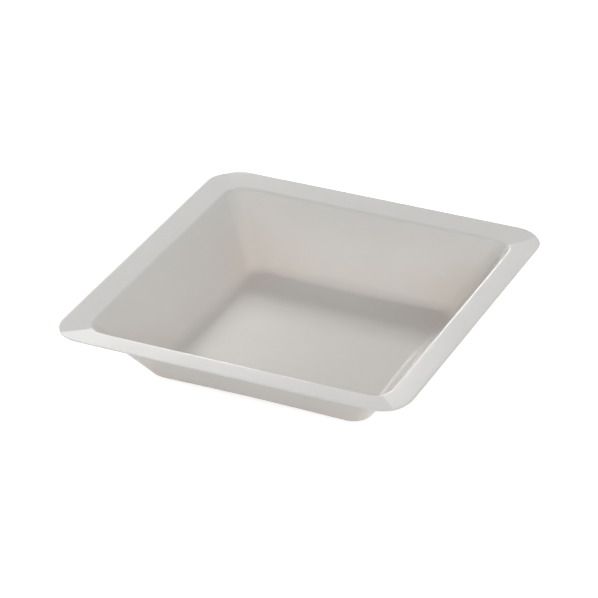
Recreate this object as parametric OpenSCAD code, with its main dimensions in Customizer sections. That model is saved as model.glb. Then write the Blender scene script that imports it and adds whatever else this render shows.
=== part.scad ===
// Square weighing boat: one thermoformed plastic sheet with a flat floor,
// four leaning walls and a narrow rim that rises outward and meets in mitred
// corners. The rim's outline is die-cut with round corners.
// The origin is the centre of the underside of the floor, +Z is up, and the
// sides of the square run along X and Y.

/* [Overall] */
// Width of the square across the cut edge of the rim
rim_w = 140; // [112:1:220]
// Depth from the floor up to the inner edge of the rim
depth = 25; // [14:0.2:60]
// Thickness of the formed sheet
sheet = 0.4; // [0.2:0.05:1.2]

/* [Floor and walls] */
// Width of the floor, measured where the wall planes would meet it
floor_w = 86.2; // [50:0.2:104]
// Radius of the upright corners between the walls, at the floor
floor_corner_r = 6.4; // [5.6:0.2:16]
// Radius of the upright corners between the walls, at the rim
wall_corner_r = 7; // [3:0.2:16]
// Inside radius of the bend from the floor to the walls
floor_bend_r = 7.4; // [1:0.2:8]

/* [Rim] */
// Width of the rim in plan, from its inner edge to its cut edge
rim_band_w = 10.3; // [5:0.1:16]
// Height by which the rim rises from its inner edge to its cut edge
rim_rise = 1.2; // [0:0.1:4]
// Radius of the round corners of the cut edge
rim_corner_r = 12.6; // [4:0.2:16]
// Inside radius of the bend from the walls to the rim
rim_bend_r = 2; // [0.4:0.1:4]

/* [Smoothness] */
// Steps round each corner, an even number so that one falls on the mitre
corner_steps = 12; // [8:2:16]
// Steps along the bend from the floor to the walls
floor_bend_steps = 9; // [5:1:12]
// Steps along the bend from the walls to the rim
rim_bend_steps = 5; // [3:1:8]

/* [Hidden] */

rim_inner_half = rim_w / 2 - rim_band_w;
floor_half = floor_w / 2;
wall_lean = atan((rim_inner_half - floor_half) / depth);
rim_slope = atan(rim_rise / rim_band_w);

QUADRANTS = [[1, 1], [-1, 1], [-1, -1], [1, -1]];
// Every place round the boat where a section is drawn, as [quadrant, angle]
STATIONS = [
    for (q = [0:3])
    for (k = [0:corner_steps])
    [QUADRANTS[q], 90 * (q + k / corner_steps)]
];

// The two skins of the sheet: 0 is the side that holds the sample, and
// `sheet` is the underside.
TOP = 0;
UNDER = sheet;

// How far the two corner lines of the section move outward when the sheet's
// face is set back by e, so that the sheet stays equally thick all the way
function floor_line_shift(e) = e * tan(45 - wall_lean / 2);
function rim_line_shift(e) =
    e * (cos(rim_slope) - sin(wall_lean)) / cos(wall_lean + rim_slope);

// Height of the rim's plane over a point in plan. It rises with the distance
// from the nearer pair of axes, so its four planes meet in mitres.
function rim_z(p, e) =
    let (out = max(abs(p[0]), abs(p[1])) - rim_inner_half)
    sheet + depth + out * tan(rim_slope) - e / cos(rim_slope);

// A point in plan on a square of round corners, at one station
function square_point(half, r, station) =
    (half - r) * station[0] + r * [cos(station[1]), sin(station[1])];

// The corners of one section, on the skin set back by e
function floor_corner(station, e) =
    let (d = floor_line_shift(e))
    let (p = square_point(floor_half + d, floor_corner_r + d, station))
    [p[0], p[1], sheet - e];
function rim_corner(station, e) =
    let (d = rim_line_shift(e))
    let (p = square_point(rim_inner_half + d, wall_corner_r + d, station))
    [p[0], p[1], rim_z(p, e)];
function cut_edge(station, e) =
    let (p = square_point(rim_w / 2, rim_corner_r, station))
    [p[0], p[1], rim_z(p, e)];

function unit(v) = v / norm(v);

// Points of an arc of radius r that rounds the corner v between the straight
// legs from a and to c
function bend(a, v, c, r, steps) =
    let (
        to_a = unit(a - v),
        to_c = unit(c - v),
        half_angle = acos(to_a * to_c) / 2,
        axis = unit(to_a + to_c),
        centre = v + axis * r / sin(half_angle),
        across = unit(to_c - to_a),
        turn = 90 - half_angle
    )
    [
        for (i = [0:steps])
        let (t = turn * (2 * i / steps - 1))
        centre + r * (across * sin(t) - axis * cos(t))
    ];

// One section of a skin, from the floor to the cut edge
function section(station, e) =
    let (
        low = floor_corner(station, e),
        high = rim_corner(station, e),
        edge = cut_edge(station, e),
        inward = [low[0] - high[0], low[1] - high[1], 0]
    )
    concat(
        bend(low + inward, low, high, floor_bend_r + e, floor_bend_steps),
        bend(low, high, edge, rim_bend_r + sheet - e, rim_bend_steps),
        [edge]
    );

// Triangles of a strip that joins column i of a grid to the next one round
function strip(i, columns, rows, first) =
    let (j = (i + 1) % columns)
    [
        for (k = [0:rows - 2])
        let (a = first + i * rows + k, b = first + j * rows + k)
        each [[a, b + 1, b], [a, a + 1, b + 1]]
    ];

function reversed(face) = [for (k = [len(face) - 1:-1:0]) face[k]];

// The whole sheet: top skin, underside, two floors and the cut edge
module boat() {
    columns = len(STATIONS);
    rows = len(section(STATIONS[0], TOP));
    under_first = columns * rows;
    points = [
        for (e = [TOP, UNDER])
        for (station = STATIONS)
        each section(station, e)
    ];
    top_skin = [for (i = [0:columns - 1]) each strip(i, columns, rows, 0)];
    under_skin = [
        for (i = [0:columns - 1])
        for (face = strip(i, columns, rows, under_first))
        reversed(face)
    ];
    floor_top = [for (i = [0:columns - 1]) i * rows];
    floor_under = reversed([for (i = [0:columns - 1]) under_first + i * rows]);
    cut = [
        for (i = [0:columns - 1])
        let (
            a = i * rows + rows - 1,
            b = ((i + 1) % columns) * rows + rows - 1
        )
        [a, a + under_first, b + under_first, b]
    ];
    faces = concat([floor_top], top_skin, cut, under_skin, [floor_under]);
    color([0.86, 0.85, 0.83])
    polyhedron(points, [for (face = faces) reversed(face)], convexity = 6);
}

boat();
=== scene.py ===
import math

import bpy
import numpy as np
from mathutils import Matrix, Vector


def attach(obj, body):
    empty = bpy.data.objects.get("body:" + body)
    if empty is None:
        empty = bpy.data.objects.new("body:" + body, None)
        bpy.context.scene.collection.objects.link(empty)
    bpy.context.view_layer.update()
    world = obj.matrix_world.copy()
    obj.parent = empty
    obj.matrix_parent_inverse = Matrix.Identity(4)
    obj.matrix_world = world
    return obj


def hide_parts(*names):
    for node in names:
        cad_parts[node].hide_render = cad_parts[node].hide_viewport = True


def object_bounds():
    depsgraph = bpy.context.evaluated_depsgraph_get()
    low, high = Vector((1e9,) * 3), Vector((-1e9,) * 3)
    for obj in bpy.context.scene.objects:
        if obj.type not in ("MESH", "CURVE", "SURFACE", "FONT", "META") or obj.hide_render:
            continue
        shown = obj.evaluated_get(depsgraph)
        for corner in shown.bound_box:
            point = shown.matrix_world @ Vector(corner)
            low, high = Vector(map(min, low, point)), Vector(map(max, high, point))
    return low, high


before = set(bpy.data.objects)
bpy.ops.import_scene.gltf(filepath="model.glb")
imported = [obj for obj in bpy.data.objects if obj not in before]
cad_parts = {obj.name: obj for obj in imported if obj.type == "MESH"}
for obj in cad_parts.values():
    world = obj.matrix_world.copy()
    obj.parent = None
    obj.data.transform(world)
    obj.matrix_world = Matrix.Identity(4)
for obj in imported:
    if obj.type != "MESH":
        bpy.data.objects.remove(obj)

cad_low, cad_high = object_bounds()

# ---------------------------------------------------------------------------
# The boat. One sheet of white polystyrene, heated, drawn down into a square
# mould and trimmed by a die. The floor is flat, the walls lean outward, and
# the rim rises a little to its cut edge and meets in mitred corners.
# ---------------------------------------------------------------------------
MM = 0.001
SHEET = 0.4 * MM
RIM_BAND = 10.3 * MM
RIM_RISE = 1.2 * MM
RIM_HALF = cad_high.x
RIM_INNER_HALF = RIM_HALF - RIM_BAND
DEPTH = cad_high.z - SHEET - RIM_RISE
FLOOR_HALF = 43.1 * MM
FLOOR_CORNER_R = 6.4 * MM
WALL_CORNER_R = 7.0 * MM
RIM_CORNER_R = 12.6 * MM
FLOOR_BEND_R = 7.4 * MM
RIM_BEND_R = 2.0 * MM
CUT_EDGE_R = 0.12 * MM

WALL_LEAN = math.atan((RIM_INNER_HALF - FLOOR_HALF) / DEPTH)
RIM_SLOPE = math.atan(RIM_RISE / RIM_BAND)

# How many rings each stretch of the sheet has, from the middle outward
FLOOR_RINGS = 24
FLOOR_BEND_STEPS = 18
WALL_RINGS = 14
RIM_BEND_STEPS = 8
RIM_RINGS = 7

# Places round one quarter of the boat: the corner, as angles that stop just
# short of the mitre, the mitre itself and their mirror image, and then the
# side that follows, as shares of its half length.
TO_MITRE = np.radians(np.linspace(0, 43.5, 15))
CORNER = np.concatenate([TO_MITRE, [math.pi / 4], math.pi / 2 - TO_MITRE[::-1]])
SIDE = np.linspace(1, -1, 40)[1:-1]


def square(half, radius):
    """A square with round corners, as rows of points in plan."""
    corner = half - radius + radius * np.c_[np.cos(CORNER), np.sin(CORNER)]
    side = np.c_[(half - radius) * SIDE, np.full(len(SIDE), half)]
    quarter = np.concatenate([corner, side])
    turns = ([[1, 0], [0, 1]], [[0, 1], [-1, 0]], [[-1, 0], [0, -1]], [[0, -1], [1, 0]])
    return np.concatenate([quarter @ np.array(turn) for turn in turns])


def rim_ring(half, radius, below):
    """A ring on the rim's four planes, or as far below them as it says."""
    plan = square(half, radius)
    out = np.abs(plan).max(axis=1) - RIM_INNER_HALF
    height = SHEET + DEPTH + out * math.tan(RIM_SLOPE) - below / math.cos(RIM_SLOPE)
    return np.c_[plan, height]


def unit(rows):
    return rows / np.linalg.norm(rows, axis=1, keepdims=True)


def between(first, last, count):
    """Rings spaced evenly from one ring to another, without those two."""
    return [first + (last - first) * k / (count + 1) for k in range(1, count + 1)]


def bend(before, corner, after, radius, steps):
    """Rings of an arc that rounds each section's corner to that radius."""
    to_before, to_after = unit(before - corner), unit(after - corner)
    half_angle = np.arccos(np.sum(to_before * to_after, axis=1)) / 2
    axis, across = unit(to_before + to_after), unit(to_after - to_before)
    centre = corner + axis * (radius / np.sin(half_angle))[:, None]
    rings = []
    for share in np.linspace(-1, 1, steps + 1):
        turn = ((math.pi / 2 - half_angle) * share)[:, None]
        rings.append(centre + radius * (across * np.sin(turn) - axis * np.cos(turn)))
    return rings


def skin(below):
    """One face of the sheet, as rings from the floor's middle to the rim's
    cut edge. It lies that far below the face that holds the sample."""
    floor_shift = below * math.tan(math.pi / 4 - WALL_LEAN / 2)
    rim_shift = below * (math.cos(RIM_SLOPE) - math.sin(WALL_LEAN))
    rim_shift /= math.cos(WALL_LEAN + RIM_SLOPE)
    plan = square(FLOOR_HALF + floor_shift, FLOOR_CORNER_R + floor_shift)
    low = np.c_[plan, np.full(len(plan), SHEET - below)]
    high = rim_ring(RIM_INNER_HALF + rim_shift, WALL_CORNER_R + rim_shift, below)
    edge = rim_ring(RIM_HALF - CUT_EDGE_R, RIM_CORNER_R - CUT_EDGE_R, below)
    inward = (low - high) * [1, 1, 0]
    floor_bend = bend(low + inward, low, high, FLOOR_BEND_R + below, FLOOR_BEND_STEPS)
    rim_bend = bend(low, high, edge, RIM_BEND_R + SHEET - below, RIM_BEND_STEPS)
    middle = np.zeros_like(low) + [0, 0, SHEET - below]
    return (
        between(middle, floor_bend[0], FLOOR_RINGS)
        + floor_bend
        + between(floor_bend[-1], rim_bend[0], WALL_RINGS)
        + rim_bend
        + between(rim_bend[-1], edge, RIM_RINGS)
        + [edge]
    )


def cut_edge():
    """The sheet's thickness at the rim, its two arrises a little rounded."""
    rings = []
    for below, way, turns in ((0, -1, (30, 60, 90)), (SHEET, 1, (90, 60, 30))):
        for turn in np.radians(turns):
            inset = CUT_EDGE_R * (1 - math.sin(turn))
            ring = rim_ring(RIM_HALF - inset, RIM_CORNER_R - inset, below)
            rings.append(ring + [0, 0, way * CUT_EDGE_R * (1 - math.cos(turn))])
    return rings


# How thin the sheet is drawn at the foot of a wall, how much more so in a
# corner, and where between the middle of a wall and a corner that begins.
# These place a painted warm glow of light shining through the thin sheet
FOOT_SHINE = 0.7
CORNER_SHINE = 0.6
CORNER_STARTS = 0.45
CORNER_SPREAD = 0.6


def thin_shine(points):
    """How far the mould has drawn the sheet out at each point: not at all in
    the rim, more down the walls, and most in the corners. This share lays on
    the painted warm glow of light shining through the thin sheet."""
    below_rim = np.clip(1 - points[:, 2] / DEPTH, 0, 1)
    diagonal = np.abs(points[:, 0] * points[:, 1]) / FLOOR_HALF**2
    corner = np.clip((diagonal - CORNER_STARTS) / CORNER_SPREAD, 0, 1)
    return np.minimum(1, below_rim * (FOOT_SHINE + CORNER_SHINE * corner))


def boat_mesh():
    """The whole sheet: its upper face, its cut edge and its underside."""
    upper, edge, under = skin(0), cut_edge(), skin(SHEET)[::-1]
    rings = upper + edge + under
    around = len(rings[0])
    points = np.concatenate(rings + [[[0, 0, SHEET], [0, 0, 0]]])
    faces = []
    for k in range(around):
        ahead = (k + 1) % around
        for ring in range(len(rings) - 1):
            near, far = ring * around, (ring + 1) * around
            faces.append((near + k, far + k, far + ahead, near + ahead))
        last = (len(rings) - 1) * around
        faces.append((len(points) - 2, k, ahead))
        faces.append((len(points) - 1, last + ahead, last + k))
    mesh = bpy.data.meshes.new("boat_sheet")
    mesh.from_pydata(points.tolist(), [], faces)
    mesh.polygons.foreach_set("use_smooth", [True] * len(mesh.polygons))
    # The painted warm glow of light through the thin sheet follows this share
    thin = mesh.attributes.new("thin_shine", "FLOAT", "POINT")
    thin.data.foreach_set("value", thin_shine(points))
    on_cut = np.zeros(len(points))
    on_cut[len(upper) * around:(len(upper) + len(edge)) * around] = 1
    cut = mesh.attributes.new("cut", "FLOAT", "POINT")
    cut.data.foreach_set("value", on_cut)
    mesh.update()
    return mesh


THICK_TONE = (0.803, 0.792, 0.77, 1)
# The tone below is a painted warm glow, standing in for light that shines through where the sheet
# is thin
THIN_SHINE_TONE = (0.811, 0.757, 0.712, 1)
CUT_TONE = (0.88, 0.88, 0.87, 1)
TONE_PATCH = 24 * MM
TONE_RANGE = (0.985, 1.015)
SHEEN_PATCH = 9 * MM
SHEEN_RANGE = (0.21, 0.27)
RIPPLE = 16 * MM
RIPPLE_HEIGHT = 0.012 * MM
GRAIN = 0.7 * MM
GRAIN_HEIGHT = 0.003 * MM


def polystyrene():
    """Satin white plastic. Its tone and sheen are a little uneven, it has a
    painted warm tint of light shining through where it is thin, and the die
    leaves its cut edge whiter."""
    material = bpy.data.materials.new("polystyrene")
    material.use_nodes = True
    nodes, links = material.node_tree.nodes, material.node_tree.links
    surface = nodes["Principled BSDF"]
    place = nodes.new("ShaderNodeTexCoord").outputs["Object"]

    def noise(size, detail):
        node = nodes.new("ShaderNodeTexNoise")
        node.inputs["Scale"].default_value = 1 / size
        node.inputs["Detail"].default_value = detail
        links.new(place, node.inputs["Vector"])
        return node.outputs["Fac"]

    def attribute(name):
        node = nodes.new("ShaderNodeAttribute")
        node.attribute_name = name
        return node.outputs["Fac"]

    def spread(value, low, high):
        node = nodes.new("ShaderNodeMapRange")
        node.inputs["From Min"].default_value = 0.25
        node.inputs["From Max"].default_value = 0.75
        node.inputs["To Min"].default_value = low
        node.inputs["To Max"].default_value = high
        links.new(value, node.inputs["Value"])
        return node.outputs["Result"]

    def blend(share, first, second):
        node = nodes.new("ShaderNodeMix")
        node.data_type = "RGBA"
        links.new(share, node.inputs["Factor"])
        for source, name in ((first, "A_Color"), (second, "B_Color")):
            socket = next(s for s in node.inputs if s.identifier == name)
            if isinstance(source, tuple):
                socket.default_value = source
            else:
                links.new(source, socket)
        return next(s for s in node.outputs if s.identifier == "Result_Color")

    def raised(height, distance, under):
        node = nodes.new("ShaderNodeBump")
        node.inputs["Distance"].default_value = distance
        links.new(height, node.inputs["Height"])
        if under:
            links.new(under, node.inputs["Normal"])
        return node.outputs["Normal"]

    # Painted warm glow where light shines through the thin sheet
    tone = blend(attribute("thin_shine"), THICK_TONE, THIN_SHINE_TONE)
    uneven = nodes.new("ShaderNodeHueSaturation")
    links.new(tone, uneven.inputs["Color"])
    links.new(spread(noise(TONE_PATCH, 4), *TONE_RANGE), uneven.inputs["Value"])
    colour = blend(attribute("cut"), uneven.outputs["Color"], CUT_TONE)
    links.new(colour, surface.inputs["Base Color"])
    links.new(spread(noise(SHEEN_PATCH, 3), *SHEEN_RANGE), surface.inputs["Roughness"])
    ripple = raised(noise(RIPPLE, 1), RIPPLE_HEIGHT, None)
    grain = raised(noise(GRAIN, 2), GRAIN_HEIGHT, ripple)
    links.new(grain, surface.inputs["Normal"])
    surface.inputs["IOR"].default_value = 1.5
    surface.inputs["Subsurface Weight"].default_value = 0.6
    surface.inputs["Subsurface Radius"].default_value = (1, 0.95, 0.88)
    surface.inputs["Subsurface Scale"].default_value = 0.8 * MM
    return material


boat = bpy.data.objects.new("weighing_boat", boat_mesh())
bpy.context.scene.collection.objects.link(boat)
boat.data.materials.append(polystyrene())
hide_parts("boat")
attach(boat, "root")

# ---------------------------------------------------------------------------
# The bench. A plain white laminate top under the boat. It shows as white and
# keeps the boat's soft shadow, and glossy faces show it as white too.
# ---------------------------------------------------------------------------
BENCH_HALF = 0.6
BENCH_PAINT = (0.75, 0.75, 0.75, 1)
BENCH_GLOW = 0.65


def seen_directly(tree):
    """1 on rays that show a thing to the eye, and 0 on rays that light it."""
    path = tree.nodes.new("ShaderNodeLightPath")
    both = tree.nodes.new("ShaderNodeMath")
    every = tree.nodes.new("ShaderNodeMath")
    every.use_clamp = True
    tree.links.new(path.outputs["Is Camera Ray"], both.inputs[0])
    tree.links.new(path.outputs["Is Glossy Ray"], both.inputs[1])
    tree.links.new(both.outputs[0], every.inputs[0])
    tree.links.new(path.outputs["Is Transmission Ray"], every.inputs[1])
    return every.outputs[0]


def laminate():
    """Matt paint where it lights the boat. Where it is seen it is plain white
    with the boat's shadow on it."""
    material = bpy.data.materials.new("bench_laminate")
    material.use_nodes = True
    nodes, links = material.node_tree.nodes, material.node_tree.links
    paint = nodes["Principled BSDF"]
    paint.inputs["Base Color"].default_value = BENCH_PAINT
    paint.inputs["Roughness"].default_value = 0.9
    shade = nodes.new("ShaderNodeBsdfDiffuse")
    shade.inputs["Color"].default_value = (1, 1, 1, 1)
    glow = nodes.new("ShaderNodeEmission")
    glow.inputs["Strength"].default_value = BENCH_GLOW
    white = nodes.new("ShaderNodeAddShader")
    links.new(shade.outputs[0], white.inputs[0])
    links.new(glow.outputs[0], white.inputs[1])
    pick = nodes.new("ShaderNodeMixShader")
    links.new(seen_directly(material.node_tree), pick.inputs[0])
    links.new(paint.outputs[0], pick.inputs[1])
    links.new(white.outputs[0], pick.inputs[2])
    links.new(pick.outputs[0], nodes["Material Output"].inputs["Surface"])
    return material


bench_top = bpy.data.meshes.new("bench")
corners = [(x * BENCH_HALF, y * BENCH_HALF, 0) for x, y in ((-1, -1), (1, -1), (1, 1), (-1, 1))]
bench_top.from_pydata(corners, [], [(0, 1, 2, 3)])
bench = bpy.data.objects.new("bench", bench_top)
bench.data.materials.append(laminate())
bpy.context.scene.collection.objects.link(bench)

# ---------------------------------------------------------------------------
# Light. A small soft lamp, low behind the boat and a little to its left,
# throws the walls' shade on the floor. Large soft panels fill that shade, and
# two more small lamps behind give the thin highlights on the bends.
# ---------------------------------------------------------------------------
AIM = Vector((0, 0, 0.012))
STUDIO_FILL = 0.03


def lamp(name, azimuth, elevation, distance, size, power, mirrored=False):
    """A square soft lamp that faces the boat from that side, in degrees. Only
    a mirrored one shows in glossy faces, and the others leave them plain."""
    light = bpy.data.lights.new(name, "AREA")
    light.size, light.energy = size, power
    holder = bpy.data.objects.new(name, light)
    a, e = math.radians(azimuth), math.radians(elevation)
    toward = Vector((math.sin(a) * math.cos(e), -math.cos(a) * math.cos(e), math.sin(e)))
    holder.location = AIM + toward * distance
    holder.rotation_euler = toward.to_track_quat("Z", "Y").to_euler()
    holder.visible_glossy = mirrored
    bpy.context.scene.collection.objects.link(holder)


lamp("key", azimuth=212, elevation=27, distance=1.5, size=0.25, power=10.3)
lamp("back_panel", azimuth=217, elevation=27, distance=1.5, size=0.35, power=1.08, mirrored=True)
lamp("low_back_panel", azimuth=210, elevation=8, distance=1.5, size=0.35, power=2.0, mirrored=True)
lamp("left_panel", azimuth=315, elevation=35, distance=2.0, size=1.6, power=13.0)
lamp("front_panel", azimuth=45, elevation=35, distance=2.0, size=1.6, power=15.0)
lamp("right_panel", azimuth=90, elevation=10, distance=2.0, size=1.6, power=11.8)


def studio(fill):
    """An even fill from all round, which shows as white where it is seen."""
    world = bpy.data.worlds.new("studio")
    world.use_nodes = True
    nodes, links = world.node_tree.nodes, world.node_tree.links
    even = nodes["Background"]
    even.inputs["Color"].default_value = (1, 1, 1, 1)
    even.inputs["Strength"].default_value = fill
    white = nodes.new("ShaderNodeBackground")
    white.inputs["Color"].default_value = (1, 1, 1, 1)
    pick = nodes.new("ShaderNodeMixShader")
    links.new(seen_directly(world.node_tree), pick.inputs[0])
    links.new(even.outputs[0], pick.inputs[1])
    links.new(white.outputs[0], pick.inputs[2])
    links.new(pick.outputs[0], nodes["World Output"].inputs["Surface"])
    return world


bpy.context.scene.world = studio(STUDIO_FILL)

# ---------------------------------------------------------------------------
# Camera. A long lens from above the near right corner, tilted a little. It
# looks past the middle of the floor by the two aim values, which are taken
# along its own right and top.
# ---------------------------------------------------------------------------
AZIMUTH = math.radians(26.589)
ELEVATION = math.radians(30.410)
ROLL = math.radians(-1.800)
CAMERA_DISTANCE = 16.615 * RIM_HALF
AIM_ACROSS = -0.03688 * RIM_HALF
AIM_UP = 0.23637 * RIM_HALF
SENSOR = 36.0
LENS = 186.698

back = Vector((
    math.sin(AZIMUTH) * math.cos(ELEVATION),
    -math.cos(AZIMUTH) * math.cos(ELEVATION),
    math.sin(ELEVATION),
))
level = Vector((math.cos(AZIMUTH), math.sin(AZIMUTH), 0))
upward = back.cross(level)
right = level * math.cos(ROLL) + upward * math.sin(ROLL)
top = upward * math.cos(ROLL) - level * math.sin(ROLL)
centre = Vector((0, 0, SHEET)) + right * AIM_ACROSS + top * AIM_UP

camera = bpy.data.cameras.new("camera")
camera.lens = LENS
camera.sensor_width = SENSOR
camera.clip_start = 0.05
camera.clip_end = 50
camera_holder = bpy.data.objects.new("camera", camera)
axes = Matrix((right, top, back)).transposed().to_4x4()
camera_holder.matrix_world = Matrix.Translation(centre + back * CAMERA_DISTANCE) @ axes
bpy.context.scene.collection.objects.link(camera_holder)
bpy.context.scene.camera = camera_holder
bpy.context.scene.view_settings.view_transform = "Standard"
